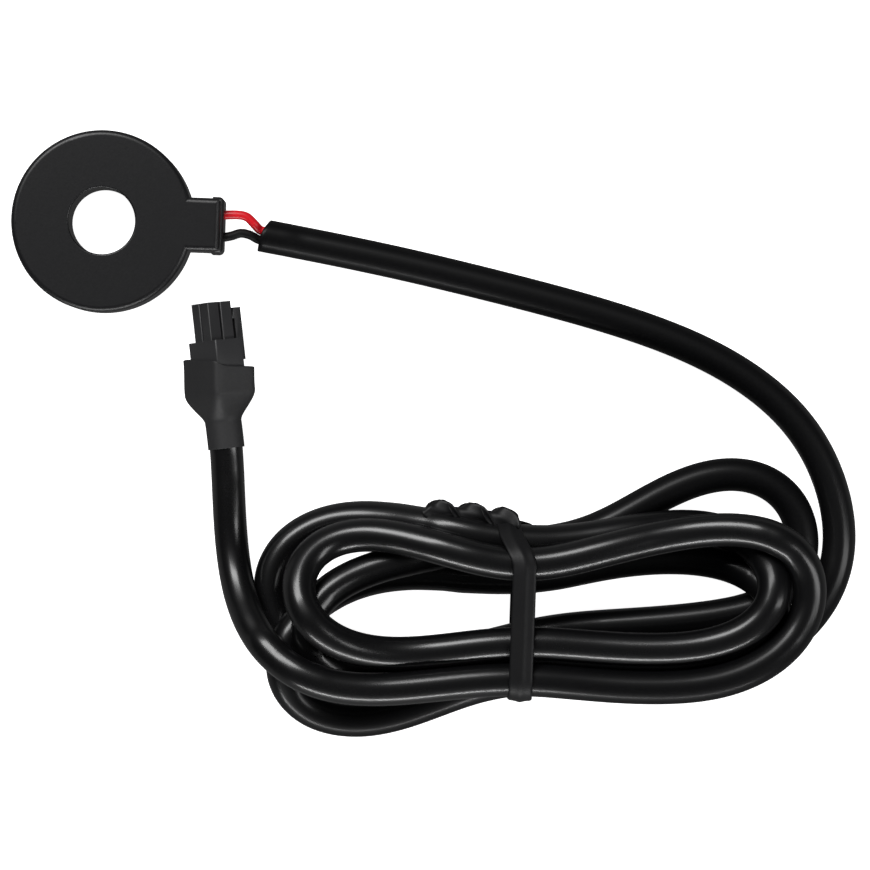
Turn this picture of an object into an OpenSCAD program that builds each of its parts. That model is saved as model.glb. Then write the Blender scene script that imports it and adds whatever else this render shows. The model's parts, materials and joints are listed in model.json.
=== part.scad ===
// Ring current transformer with a two-core lead and a four-way plug.
// Millimetres, +Z up. The origin is on the bore axis at the resting face, and +X runs
// through the lead outlet. The lead lies on the same surface as the ring: one sweep,
// a four-turn hank in a twist tie, and a short tail to the plug.

/* [Ring housing] */
// Outside diameter of the ring
ring_d = 30; // [28:0.5:33]
// Bore for the primary conductor
bore_d = 11; // [9:0.5:12]
// Height of the ring
ring_h = 9; // [8:0.5:12]
// Thickness of the outer wall
ring_wall = 1.5; // [1.2:0.1:1.8]
// Thickness of the bore wall
bore_wall = 1.2; // [1.1:0.1:1.4]
// Thickness of the closed top face
top_t = 1.2; // [1:0.1:1.6]
// Rounding of the outer top edge
edge_r = 0.9; // [0.3:0.1:1]
// Rounding of the bore's top edge
bore_edge_r = 0.3; // [0.2:0.1:0.5]
// Thickness of the base cover
cover_t = 1.2; // [1:0.1:1.6]
// Width of the ledge that the cover seats on
cover_ledge = 0.6; // [0.4:0.1:0.7]

/* [Lead outlet] */
// Width of the outlet block
outlet_w = 8.8; // [8.2:0.2:11]
// Length of the outlet beyond the ring's rim
outlet_len = 5; // [5:0.5:8]
// Thickness of the outlet's end wall
outlet_wall = 1.2; // [1:0.1:1.4]
// Length of the collar round the outlet's end
collar_len = 1.9; // [1.2:0.1:2.4]
// How far the collar stands proud at each side
collar_lip = 0.3; // [0.1:0.1:0.5]
// How far the collar's top lies below the ring's top
collar_drop = 1.3; // [1:0.1:1.6]
// Distance between the two wires at the outlet
wire_pitch = 3.7; // [3.2:0.1:4]

/* [Coil] */
// Tape over the winding
tape_t = 0.2; // [0.1:0.05:0.4]
// Winding of enamelled wire
winding_t = 0.75; // [0.5:0.05:1]
// Depth of the grooves between bunches of turns
groove_depth = 0.25; // [0.1:0.05:0.35]
// Number of bunches of turns round the core
bunches = 48; // [36:1:72]
// Insulating wrap of the core
wrap_t = 0.3; // [0.2:0.05:0.5]
// Enamelled wire at the winding's two ends
pigtail_d = 0.6; // [0.4:0.1:0.8]

/* [Wires and cable] */
// Insulated wires
wire_d = 1.5; // [1.3:0.1:1.7]
// Outside diameter of the splice sleeves
sleeve_d = 2.4; // [2:0.1:2.8]
// Cable jacket
cable_d = 5.5; // [5:0.1:6]

/* [Hank and twist tie] */
// Height of the hank
hank_h = 16; // [12:0.2:18]
// Width of the flat tie
tie_w = 3.3; // [2.5:0.1:4]
// Thickness of the flat tie
tie_t = 0.5; // [0.4:0.1:0.8]

/* [Plug] */
// Spacing of the four contacts
contact_pitch = 2.54; // [2.5:0.02:3]
// Outside width of one contact silo
silo_w = 2.2; // [2:0.05:2.3]
// Length of the silos
silo_len = 6.3; // [5:0.1:8]
// Length of the housing behind the silos
body_len = 8.3; // [7:0.1:10]
// Side shoulders between silos and housing
body_shoulder = 0.4; // [0.3:0.05:0.6]
// Step from the silos up to the raised face
face_step = 1.6; // [0.8:0.1:2]
// Step from the silos down to the under face
under_step = 1.5; // [1:0.1:1.8]
// Roll of the plug about its own length as it lies
plug_roll = 38; // [30:1:45]
// Width of the latch arm
latch_w = 3; // [2:0.1:3.4]
// Thickness of the latch arm
latch_t = 1.4; // [0.6:0.1:1.6]
// Gap under the latch arm
latch_gap = 1; // [0.8:0.1:1.4]

/* [Boot] */
// Wall of the shrink boot at its mouth
boot_wall = 0.85; // [0.6:0.05:1]
// Wall of the boot where it grips the cable
boot_neck_wall = 0.25; // [0.15:0.05:0.5]
// Length of the boot
boot_len = 14.1; // [13:0.1:16]
// Length of housing that the boot covers
boot_cover = 4.5; // [3:0.1:5]

/* [Hidden] */
$fn = 48;
// Clearance of a piece in its seat, and the overrun of a cutting tool past a face
fit = 0.05;
over = 0.5;
// Room for potting between a splice sleeve and the outlet's side wall
sleeve_room = 0.15;

// Ring and cavity
ring_r = ring_d / 2;
bore_r = bore_d / 2;
cavity_out = ring_r - ring_wall;
cavity_in = bore_r + bore_wall;
cavity_top = ring_h - top_t;
outlet_end = ring_r + outlet_len;
outlet_block_end = outlet_end - 0.5;
outlet_in_w = wire_pitch + sleeve_d + 2 * sleeve_room;
outlet_in_end = outlet_end - outlet_wall;
wire_z = ring_h / 2;

// Coil, from the tape inwards
coil_gap = 0.3;
coil_z = cover_t + (cavity_top - cover_t) / 2;
tape_out = cavity_out - coil_gap;
tape_in = cavity_in + coil_gap;
tape_h = cavity_top - cover_t - 2 * fit;
layer_winding = tape_t + fit;
layer_wrap = layer_winding + winding_t + fit;
layer_core = layer_wrap + wrap_t + fit;

// Splices
splice_start = cavity_out + 0.6;
splice_end = outlet_in_end - 0.6;
splice_joint = (splice_start + splice_end) / 2;

cable_r = cable_d / 2;

// Plug, in its own frame: X towards the mating face at X = 0, Z out of the raised face
block_r = (contact_pitch + silo_w) / 2;
body_half = block_r + body_shoulder;
body_top = block_r + face_step;
body_low = block_r + under_step;
body_mid = (body_top - body_low) / 2;
plug_len = silo_len + body_len;
contact_hole = 1.35;
wire_hole = wire_d + 0.4;
wire_hole_len = 6.6;
latch_set_back = 1.1;
latch_hook = [1.8, 0.5];

// Boot, in the plug's frame
boot_mouth = -plug_len + boot_cover;
boot_end = boot_mouth - boot_len;
latch_end = boot_mouth + 0.3;
boot_gap = 0.25;
boot_corner = 1;
boot_in = [body_half + boot_gap, (body_top + body_low) / 2 + boot_gap];
boot_out = boot_in + [boot_wall, boot_wall];
boot_neck_in = cable_r + 0.1;
boot_neck_out = boot_neck_in + boot_neck_wall;
shoulder_start = boot_mouth - boot_cover;
shoulder_end = boot_end + 3;
jacket_face = boot_end + 3.6;
plug_rise = (boot_out.x - boot_corner) * sin(plug_roll)
    + (boot_out.y - boot_corner - body_mid) * cos(plug_roll) + boot_corner;
plug_lift = plug_rise - cable_r - fit;

// Cable. Each point is [distance past the outlet's end, Y, lift off the surface].
lead_points = [[6, -1.2, 0.9], [12.5, -2.2, 0.4], [21, -3.6, 0], [29.5, -5.1, 0],
    [38, -6.8, 0], [46.5, -8.6, 0], [55, -10.5, 0], [63.5, -12.6, 0], [72, -15.1, 0],
    [80, -18.1, 0], [87, -21.8, 0], [93, -26.1, 0], [97.8, -31.2, 0],
    [101.1, -37.2, 0], [103.2, -43.8, 0], [103.9, -50, 0], [103.8, -53, 0]];
tail_points = [[5.2, -63, 3.4], [4.4, -60.5, 3.4], [3.2, -56.5, 2.2], [2.6, -52, 1.4], [2.2, -46, 1.4],
    [1.9, -40.5, 2.6], [1.6, -36, plug_lift], [1.2, -33.2, plug_lift]];

// Hank: loop centres and radii on the resting surface
hank_r = 15.6;
hank_slot_r = 3.2;
hank_left = [22.1, -61];
hank_right = [86.2, -61];
slot_left = [25, -62.5];
slot_right = [83, -59.5];
upper_loop = [87.2, -49];
upper_loop_r = 13.3;
upper_loop_foot = [53, -47.2];
lower_loop = [24, -70];
lower_loop_r = 14;
lower_loop_foot = [43, -74.5];
stub_len = 9;
tube_gap = 0.3;

// Twist tie round the hank's waist
tie_place = [51.9, -61];
tie_turn = 2;
waist = [2 * hank_r - 1, hank_h - tie_t - fit];
waist_corner = 2.5;
twist_len = 8;
twist_angle = 540;
tie_end_len = 4;

// Points of a route set down on the surface, past the outlet's end
function laid(points) = [for (p = points) [p.x + outlet_end, p.y, p.z + cable_r + fit]];

// Curve through four neighbouring points, from the second (t = 0) to the third (t = 1)
function curve(a, b, c, d, t) = 0.5 * (2 * b + (c - a) * t
    + (2 * a - 5 * b + 4 * c - d) * t * t + (3 * b - a - 3 * c + d) * t * t * t);

// Smooth line through all points, with n steps between neighbours
function smooth(p, n) = [for (i = [0 : len(p) - 2], k = [0 : n - 1])
    curve(p[max(i - 1, 0)], p[i], p[i + 1], p[min(i + 2, len(p) - 1)], k / n),
    p[len(p) - 1]];

// Directions of a route at its first and last point
function unit(v) = v / norm(v);
function first_aim(p) = unit(p[1] - p[0]);
function last_aim(p) = unit(p[len(p) - 1] - p[len(p) - 2]);

// Ring of points round a centre, at right angles to the direction
function ring_at(centre, aim, r, sides) = let (
    side = unit(cross(aim, [0, 0, 1])), up = cross(side, aim))
    [for (k = [0 : sides - 1]) centre
        + r * (cos(360 * (k + 0.5) / sides) * side + sin(360 * (k + 0.5) / sides) * up)];

// Skin over rings of n points each, closed at both ends
function skin_faces(rings, n) = concat([[for (k = [n - 1 : -1 : 0]) k]],
    [for (i = [0 : rings - 2], k = [0 : n - 1])
        [i * n + k, i * n + (k + 1) % n, (i + 1) * n + (k + 1) % n, (i + 1) * n + k]],
    [[for (k = [0 : n - 1]) (rings - 1) * n + k]]);

module tube(points, d, sides, steps) {
    line = smooth(points, steps);
    last = len(line) - 1;
    aims = [first_aim(points), for (i = [1 : last - 1]) unit(line[i + 1] - line[i - 1]),
        last_aim(points)];
    rings = [for (i = [0 : last]) ring_at(line[i], aims[i], d / 2, sides)];
    polyhedron([for (ring = rings) each ring], skin_faces(len(rings), sides), 4);
}

// Rectangle standing on y = 0 with its top right corner rounded
module one_round_corner(w, h, r) {
    square([w, h - r]);
    square([w - r, h]);
    translate([w - r, h - r]) circle(r);
}

// Rectangle centred on x = 0, standing on y = 0, with both top corners rounded
module two_round_corners(w, h, r) {
    one_round_corner(w / 2, h, r);
    mirror([1, 0]) one_round_corner(w / 2, h, r);
}

// Rectangle centred on the origin with all corners rounded
module rounded_rectangle(w, h, r) {
    square([w - 2 * r, h], center = true);
    square([w, h - 2 * r], center = true);
    for (x = [-1, 1], y = [-1, 1]) translate([x * (w / 2 - r), y * (h / 2 - r)]) circle(r);
}

// ---- Ring housing ----

module ring_profile() {
    middle = (ring_r + bore_r) / 2;
    translate([middle, 0]) one_round_corner(ring_r - middle, ring_h, edge_r);
    translate([middle, 0]) mirror([1, 0])
        one_round_corner(middle - bore_r, ring_h, bore_edge_r);
}

// Block along +X from the bore wall to x_end, its top, side and end edges rounded
module outlet_block(x_end, w, h, r) {
    intersection() {
        rotate([90, 0, 90]) linear_extrude(x_end) two_round_corners(w, h, r);
        rotate([90, 0, 0]) linear_extrude(w + 2 * over, center = true)
            one_round_corner(x_end, h, r);
        linear_extrude(h + over) rotate([0, 0, -90]) two_round_corners(w, x_end, r);
        translate([cavity_in, -w, 0]) cube([x_end, 2 * w, h + over]);
    }
}

module collar() {
    intersection() {
        outlet_block(outlet_end, outlet_w + 2 * collar_lip, ring_h - collar_drop, edge_r);
        translate([outlet_end - collar_len, -outlet_w, 0])
            cube([collar_len, 2 * outlet_w, ring_h]);
    }
}

// Plan of the hollow: a ring and the outlet's channel, both grown by g
module hollow_plan(g) {
    difference() {
        union() {
            circle(cavity_out + g);
            translate([cavity_in, -outlet_in_w / 2 - g])
                square([outlet_in_end - cavity_in + g, outlet_in_w + 2 * g]);
        }
        circle(cavity_in - g);
    }
}

module wire_sides() {
    for (side = [1, -1]) translate([0, side * wire_pitch / 2, wire_z]) children();
}

module along_x(d, from, to) {
    translate([from, 0, 0]) rotate([0, 90, 0]) cylinder(d = d, h = to - from);
}

module case_shell() {
    color("#2a2a2d") difference() {
        union() {
            rotate_extrude($fn = 96) ring_profile();
            outlet_block(outlet_block_end, outlet_w, ring_h, edge_r);
            collar();
        }
        cylinder(h = 3 * ring_h, d = bore_d, center = true);
        translate([0, 0, cover_t]) linear_extrude(cavity_top - cover_t) hollow_plan(0);
        translate([0, 0, -over]) linear_extrude(cover_t + over) hollow_plan(cover_ledge);
        wire_sides() along_x(wire_d + 2 * fit, splice_end, outlet_end + over);
    }
}

module case_cover() {
    color("#303033") linear_extrude(cover_t) hollow_plan(cover_ledge - fit);
}

// ---- Coil ----

// Square ring that lies this far inside the tape's outer faces
module coil_ring(layer, r) {
    w = tape_out - tape_in - 2 * layer;
    h = tape_h - 2 * layer;
    translate([0, 0, coil_z]) rotate_extrude()
        translate([(tape_out + tape_in) / 2, 0]) rounded_rectangle(w, h, r);
}

module pigtails(d) {
    wire_sides() along_x(d, tape_out - layer_wrap, splice_joint - fit);
}

module core() {
    color("#8f9298") coil_ring(layer_core, 0.1);
}

module core_wrap() {
    color("#d8c9a0") difference() {
        coil_ring(layer_wrap, 0.4);
        coil_ring(layer_core - fit, 0.1);
    }
}

// One loop round the core's section at angle a, its skin g inside the winding's faces
function winding_loop(a, g) = let (corner = 0.9, points = 4,
    w = (tape_out - tape_in) / 2 - layer_winding - g, h = tape_h / 2 - layer_winding - g)
    [for (q = [0 : 3], k = [0 : points - 1])
        let (t = 90 * (q + (k + 0.5) / points), sx = (q == 0 || q == 3) ? 1 : -1,
            sz = q < 2 ? 1 : -1, x = (tape_out + tape_in) / 2
                + sx * (w - corner) + corner * cos(t))
            [x * cos(a), x * sin(a), coil_z + sz * (h - corner) + corner * sin(t)]];

module winding() {
    loops = 2 * bunches;
    n = len(winding_loop(0, 0));
    color("#b5652a") difference() {
        union() {
            polyhedron([for (i = [0 : loops - 1])
                    each winding_loop(360 * i / loops, i % 2 == 0 ? 0 : groove_depth)],
                [for (i = [0 : loops - 1], k = [0 : n - 1])
                    [i * n + k, i * n + (k + 1) % n,
                        ((i + 1) % loops) * n + (k + 1) % n, ((i + 1) % loops) * n + k]], 6);
            pigtails(pigtail_d);
        }
        coil_ring(layer_wrap - fit, 0.4);
    }
}

module winding_tape() {
    color("#d9b83c") difference() {
        coil_ring(0, 0.9);
        coil_ring(tape_t, 0.7);
        pigtails(pigtail_d + 2 * fit);
    }
}

// ---- Splices and potting in the outlet ----

module splice_tube(d) {
    along_x(d, splice_start, splice_end);
}

module splice_sleeve(side) {
    translate([0, side * wire_pitch / 2, wire_z]) difference() {
        splice_tube(sleeve_d);
        along_x(wire_d + 2 * fit, splice_start + 0.4, splice_end + over);
        along_x(pigtail_d + 2 * fit, splice_start - over, splice_end);
    }
}

module splice_sleeve_red() {
    color("#b3202c") splice_sleeve(1);
}

module splice_sleeve_black() {
    color("#26262a") splice_sleeve(-1);
}

module potting() {
    color("#3c352c") difference() {
        translate([0, -outlet_in_w / 2 + fit, cover_t + fit])
            cube([outlet_in_end - fit, outlet_in_w - 2 * fit,
                cavity_top - cover_t - 2 * fit]);
        cylinder(h = 3 * ring_h, r = cavity_out - fit, center = true, $fn = 96);
        wire_sides() {
            splice_tube(sleeve_d + 2 * fit);
            along_x(wire_d + 2 * fit, splice_end - fit, outlet_end);
            along_x(pigtail_d + 2 * fit, 0, splice_start + fit);
        }
    }
}

// ---- Wires and cable ----

lead_line = laid(lead_points);
tail_line = laid(tail_points);
lead_aim = first_aim(lead_line);
lead_side = unit(cross([0, 0, 1], lead_aim));

// Point this far back from the jacket's cut face, and this far to its left
function at_jacket(back, left) = lead_line[0] - back * lead_aim + left * lead_side;

// Wire from its splice through the end wall, past its own bend, into the jacket
function lead_route(side, bend) = [[splice_joint, side * wire_pitch / 2, wire_z],
    [outlet_end, side * wire_pitch / 2, wire_z],
    [outlet_end + 1.2, side * wire_pitch / 2, wire_z],
    each [for (p = bend) [outlet_end + p.x, p.y, p.z + wire_z]],
    at_jacket(0.8, side * (wire_d / 2 + fit)), at_jacket(0, side * (wire_d / 2 + fit))];
red_bend = [[3, 1.8, -0.1], [4.2, 1.2, -0.3]];
black_bend = [[2.4, -1.2, -0.3], [4, -1.3, -0.7]];

module lead_red() {
    color("#e0202c") tube(lead_route(1, red_bend), wire_d, 10, 3);
}

module lead_black() {
    color("#1a1a1c") tube(lead_route(-1, black_bend), wire_d, 10, 3);
}

module cable_lead() {
    color("#18181a") tube(lead_line, cable_d, 10, 2);
}

module cable_tail() {
    color("#18181a") tube(tail_line, cable_d, 10, 2);
}

module past_outlet(p) {
    translate([outlet_end + p.x, p.y, 0]) children();
}

// Outline round two circles
module capsule(a, ra, b, rb) {
    hull() {
        past_outlet(a) circle(ra, $fn = 32);
        past_outlet(b) circle(rb, $fn = 32);
    }
}

// Frame at a tube's end on the surface, X pointing into the hank
module into_hank(from, aim) {
    translate([from.x, from.y, 0]) rotate([0, 0, atan2(aim.y, aim.x)]) children();
}

// Flat-ended stub of cable that the tube's end meets
module stub(from, aim) {
    into_hank(from, aim) translate([0, -cable_r, 0])
        cube([stub_len, cable_d, from.z + cable_r]);
}

// Room for the tube in front of its stub
module tube_room(from, aim) {
    into_hank(from, aim) translate([-2 * stub_len, -cable_r - tube_gap, -over])
        cube([2 * stub_len, cable_d + 2 * tube_gap, hank_h + 2 * over]);
}

module tie_frame() {
    past_outlet(tie_place) rotate([90, 0, 90 + tie_turn]) children();
}

// Section of the waist inside the tie, grown by g on every side
module waist_section(g) {
    translate([0, tie_t + fit + waist.y / 2])
        rounded_rectangle(waist.x + 2 * g, waist.y + 2 * g, waist_corner + g);
}

module cable_hank() {
    lead_end = lead_line[len(lead_line) - 1];
    tail_aim = -first_aim(tail_line);
    color("#18181a") difference() {
        union() {
            linear_extrude(hank_h) capsule(hank_left, hank_r, hank_right, hank_r);
            linear_extrude(cable_d) difference() {
                capsule(upper_loop, upper_loop_r, upper_loop_foot, cable_r);
                capsule(upper_loop, upper_loop_r - cable_d, upper_loop - [7, 0], 4);
            }
            linear_extrude(cable_d) capsule(lower_loop, lower_loop_r,
                lower_loop_foot, cable_r);
            stub(lead_end, last_aim(lead_line));
            stub(tail_line[0], tail_aim);
        }
        tube_room(lead_end, last_aim(lead_line));
        tube_room(tail_line[0], tail_aim);
        translate([0, 0, -over]) linear_extrude(hank_h + 2 * over)
            capsule(slot_left, hank_slot_r, slot_right, hank_slot_r);
        tie_frame() linear_extrude(tie_w + 2 * fit, center = true) difference() {
            square(4 * hank_r, center = true);
            waist_section(0);
        }
    }
}

// Flat tie round the waist, with its two ends twisted together and laid along the hank
module twist_tie() {
    knot_y = hank_r + tie_w / 2 + 0.5;
    knot_z = 0.7 * hank_h;
    color("#232326") {
        tie_frame() linear_extrude(tie_w, center = true) difference() {
            waist_section(fit + tie_t);
            waist_section(fit);
        }
        tie_frame() translate([knot_y, knot_z, 0]) rotate([0, 180, 0]) {
            translate([0, 0, -tie_w / 2]) linear_extrude(twist_len + tie_w / 2,
                    twist = twist_angle, slices = 18, $fn = 8)
                square([tie_w, 2 * tie_t], center = true);
            for (side = [1, -1]) translate([0, side * tie_t / 2, twist_len - 1])
                rotate([side * 12, 0, 0]) translate([-tie_w / 2, -tie_t / 2, 0])
                    cube([tie_w, tie_t, tie_end_len]);
        }
        tie_frame() translate([waist.x / 2 + fit, knot_z - tie_t, -tie_w / 2])
            cube([knot_y - waist.x / 2, 2 * tie_t, tie_w]);
    }
}

// ---- Plug ----

plug_aim = last_aim(tail_line);

// Puts the plug's frame at the tail's end, rolled as it lies
module plug_frame() {
    translate(tail_line[len(tail_line) - 1])
        rotate([0, 0, atan2(plug_aim.y, plug_aim.x)])
            translate([-jacket_face, 0, 0]) rotate([plug_roll, 0, 0]) children();
}

// Bar along X of the plug's frame, between two corners of its section
module bar(x0, x1, y0, y1, z0, z1) {
    translate([x0, y0, z0]) cube([x1 - x0, y1 - y0, z1 - z0]);
}

module silo(y, z) {
    translate([0, y, z]) rotate([90, 0, -90]) linear_extrude(silo_len + over)
        rounded_rectangle(silo_w, silo_w, 0.2);
}

// Arm beside the silos with a hooked nose, held by a bridge near the boot
module latch() {
    arm_y = -block_r - latch_gap - latch_t;
    bar(latch_end, -latch_set_back, arm_y, arm_y + latch_t, -latch_w / 2, latch_w / 2);
    bar(latch_end, -silo_len, arm_y + latch_t, -block_r, -latch_w / 2, latch_w / 2);
    translate([-latch_set_back, arm_y + latch_t, -latch_w / 2]) linear_extrude(latch_w)
        polygon([[0, 0], [-latch_hook.x, 0], [-latch_hook.x, latch_hook.y]]);
}

module plug_body() {
    contacts = [-contact_pitch / 2, contact_pitch / 2];
    for (y = contacts, z = contacts) silo(y, z);
    translate([0, 0, body_mid]) rotate([90, 0, -90])
        translate([0, 0, silo_len]) linear_extrude(body_len)
            rounded_rectangle(2 * body_half, body_top + body_low, 0.4);
    latch();
}

module plug_housing() {
    contacts = [-contact_pitch / 2, contact_pitch / 2];
    color("#2c2c30") plug_frame() difference() {
        plug_body();
        for (y = contacts, z = contacts) translate([0, y, z]) {
            bar(-plug_len - over, over, -contact_hole / 2, contact_hole / 2,
                -contact_hole / 2, contact_hole / 2);
            bar(-plug_len - over, -plug_len + wire_hole_len, -wire_hole / 2,
                wire_hole / 2, -wire_hole / 2, wire_hole / 2);
        }
    }
}

// Folded box contact in front, web, and crimp barrel round the wire behind
module terminal(side) {
    box_w = contact_hole - 2 * fit;
    box_back = -silo_len;
    crimp_front = -plug_len + wire_hole_len - 0.6;
    crimp_back = crimp_front - 3;
    color("#c9b37e") plug_frame()
        translate([0, side * contact_pitch / 2, contact_pitch / 2]) {
            difference() {
                bar(box_back, -1, -box_w / 2, box_w / 2, -box_w / 2, box_w / 2);
                bar(box_back - over, 0, -box_w / 2 + 0.2, box_w / 2 - 0.2,
                    -box_w / 2 + 0.2, box_w / 2 - 0.2);
            }
            bar(crimp_front, box_back + 0.2, -box_w / 2, box_w / 2, -box_w / 2,
                -box_w / 2 + 0.2);
            difference() {
                along_x(wire_hole - 2 * fit, crimp_back, crimp_front);
                along_x(wire_d + 2 * fit, crimp_back - over, crimp_front - 0.2);
            }
        }
}

module terminal_red() {
    terminal(1);
}

module terminal_black() {
    terminal(-1);
}

// Wire from the jacket's cut face in the boot to its crimp
function plug_wire_route(side) = let (crimp = -plug_len + wire_hole_len - 1)
    [[jacket_face, side * (wire_d / 2 + fit), 0],
    [jacket_face + 1, side * (wire_d / 2 + fit), 0],
    [-plug_len - 1, side * contact_pitch / 2, contact_pitch / 2],
    [-plug_len, side * contact_pitch / 2, contact_pitch / 2],
    [crimp, side * contact_pitch / 2, contact_pitch / 2]];

module plug_wire_red() {
    color("#e0202c") plug_frame() tube(plug_wire_route(1), wire_d, 8, 3);
}

module plug_wire_black() {
    color("#1a1a1c") plug_frame() tube(plug_wire_route(-1), wire_d, 8, 3);
}

// ---- Shrink boot ----

function eased(t) = let (u = min(max(t, 0), 1)) u * u * (3 - 2 * u);

// How far the section at x has gone from the mouth's rectangle to the neck's circle
function necked(x) = eased((shoulder_start - x) / (shoulder_start - shoulder_end));

// Rounded section of the boot at x, from half sizes at the mouth to a neck radius
function boot_ring(x, mouth, neck) = let (points = 6, s = necked(x),
    w = mouth.x + (neck - mouth.x) * s, h = mouth.y + (neck - mouth.y) * s,
    corner = boot_corner + (neck - boot_corner) * s, mid = body_mid * (1 - s))
    [for (q = [0 : 3], k = [0 : points - 1])
        let (t = 90 * (q + (k + 0.5) / points), sy = (q == 0 || q == 3) ? 1 : -1,
            sz = q < 2 ? 1 : -1)
            [x, sy * (w - corner) + corner * cos(t),
                mid + sz * (h - corner) + corner * sin(t)]];

// Solid skin of the boot between two ends along X
module boot_skin(from, to, mouth, neck) {
    places = [from, for (i = [0 : 8]) shoulder_start
        + (shoulder_end - shoulder_start) * i / 8, to];
    rings = [for (x = places) boot_ring(x, mouth, neck)];
    polyhedron([for (ring = rings) each ring], skin_faces(len(rings), len(rings[0])), 4);
}

module plug_boot() {
    color("#323236") plug_frame() difference() {
        boot_skin(boot_mouth, boot_end, boot_out, boot_neck_out);
        boot_skin(boot_mouth + over, boot_end - over, boot_in, boot_neck_in);
    }
}

case_shell();
case_cover();
core();
core_wrap();
winding();
winding_tape();
potting();
splice_sleeve_red();
splice_sleeve_black();
lead_red();
lead_black();
cable_lead();
cable_hank();
cable_tail();
twist_tie();
plug_housing();
terminal_red();
terminal_black();
plug_wire_red();
plug_wire_black();
plug_boot();
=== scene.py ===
"""Ring current transformer, dressed: moulded ring, two-core lead in a tied hank, booted plug."""

import json

import bmesh
import bpy
import numpy as np
from mathutils import Matrix, Vector


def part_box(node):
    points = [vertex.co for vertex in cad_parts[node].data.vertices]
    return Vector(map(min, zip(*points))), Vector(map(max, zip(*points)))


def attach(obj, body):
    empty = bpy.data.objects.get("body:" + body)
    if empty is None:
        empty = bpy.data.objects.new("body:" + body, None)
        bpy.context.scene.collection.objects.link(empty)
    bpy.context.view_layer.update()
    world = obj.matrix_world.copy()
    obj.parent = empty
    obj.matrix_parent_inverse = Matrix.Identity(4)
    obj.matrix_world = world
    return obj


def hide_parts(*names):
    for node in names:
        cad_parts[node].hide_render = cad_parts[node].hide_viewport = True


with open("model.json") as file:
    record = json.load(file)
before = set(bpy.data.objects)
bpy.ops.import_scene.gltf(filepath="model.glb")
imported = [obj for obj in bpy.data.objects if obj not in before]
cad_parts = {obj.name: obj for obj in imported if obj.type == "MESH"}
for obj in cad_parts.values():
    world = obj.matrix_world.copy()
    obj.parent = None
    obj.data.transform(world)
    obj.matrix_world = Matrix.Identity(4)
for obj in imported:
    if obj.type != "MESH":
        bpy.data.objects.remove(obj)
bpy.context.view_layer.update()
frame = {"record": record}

# ---- Studio: floor, lights and camera ----
# The part lies on a seamless white sheet, seen from straight above. One broad soft light
# stands beyond its far side, to the left, and a second at its right, and a low strip runs
# along the near side, so a round cable shows a wide soft band and a thin bright line.
view_centre = Vector((0.0561, -0.03335, 0))
view_roll = np.radians(2)
view_height = 0.745
view_width = 0.145

camera = bpy.data.objects.new("camera", bpy.data.cameras.new("camera"))
camera.data.sensor_width = 36
camera.data.lens = camera.data.sensor_width * view_height / view_width
camera.data.clip_start = 0.01
camera.matrix_world = Matrix.Translation(view_centre + Vector((0, 0, view_height))) @ Matrix.Rotation(
    view_roll, 4, "Z")
bpy.context.scene.collection.objects.link(camera)
bpy.context.scene.camera = camera
bpy.context.scene.view_settings.view_transform = "Standard"


def soft_light(name, place, width, depth, power):
    """Rectangular light at a place measured from the view's centre, facing that centre."""
    light = bpy.data.lights.new(name, "AREA")
    light.shape = "RECTANGLE"
    light.size = width
    light.size_y = depth
    light.energy = power
    lamp = bpy.data.objects.new(name, light)
    aim = (-Vector(place)).to_track_quat("-Z", "Y")
    lamp.matrix_world = Matrix.Translation(view_centre + Vector(place)) @ aim.to_matrix().to_4x4()
    bpy.context.scene.collection.objects.link(lamp)


soft_light("far_softbox", (-0.3, 0.55, 0.68), 0.6, 0.3, 8.3)
soft_light("right_softbox", (0.62, -0.12, 0.48), 0.18, 0.5, 2.2)
soft_light("near_strip", (0, -0.95, 0.26), 1.1, 0.06, 9)

world = bpy.data.worlds.new("studio_air")
world.use_nodes = True
world.node_tree.nodes["Background"].inputs["Color"].default_value = (0.9, 0.95, 1, 1)
world.node_tree.nodes["Background"].inputs["Strength"].default_value = 0.02
bpy.context.scene.world = world

# To the camera the sheet glows plain white. Glossy surfaces mirror only a faint glow of it,
# and it throws next to no light up from below, so the black plastics keep their black.
floor_reach = 3
floor_corners = [(x * floor_reach, y * floor_reach, 0) for x, y in ((-1, -1), (1, -1), (1, 1), (-1, 1))]
floor_mesh = bpy.data.meshes.new("floor")
floor_mesh.from_pydata(floor_corners, [], [(0, 1, 2, 3)])
floor = bpy.data.objects.new("floor", floor_mesh)
bpy.context.scene.collection.objects.link(floor)
sheet = bpy.data.materials.new("white_sheet")
sheet.use_nodes = True
floor_mesh.materials.append(sheet)
tree = sheet.node_tree
paper = tree.nodes["Principled BSDF"]
paper.inputs["Roughness"].default_value = 0.9
paper.inputs["Specular IOR Level"].default_value = 0.1
paper.inputs["Emission Color"].default_value = (1, 1, 1, 1)
seen = tree.nodes.new("ShaderNodeLightPath")
tone = tree.nodes.new("ShaderNodeMix")
tone.data_type = "RGBA"
tone.inputs["A"].default_value = (0.08, 0.08, 0.08, 1)
tone.inputs["B"].default_value = (0.9, 0.9, 0.9, 1)
glow = tree.nodes.new("ShaderNodeMath")
glow.operation = "MULTIPLY_ADD"
glow.inputs[1].default_value = 0.12
tree.links.new(seen.outputs["Is Camera Ray"], tone.inputs["Factor"])
tree.links.new(seen.outputs["Is Glossy Ray"], glow.inputs[0])
tree.links.new(seen.outputs["Is Camera Ray"], glow.inputs[2])
tree.links.new(tone.outputs["Result"], paper.inputs["Base Color"])
tree.links.new(glow.outputs[0], paper.inputs["Emission Strength"])

# ---- Cable ----
# A two-core cable in a soft black PVC jacket, extruded round its cores and wound by hand
# into a flat hank of four turns. It runs straight from the ring, sweeps round and tucks
# under the hank, and its last stretch comes out on top and runs to the plug.
cable_d = 0.0055
cable_r = cable_d / 2

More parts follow.
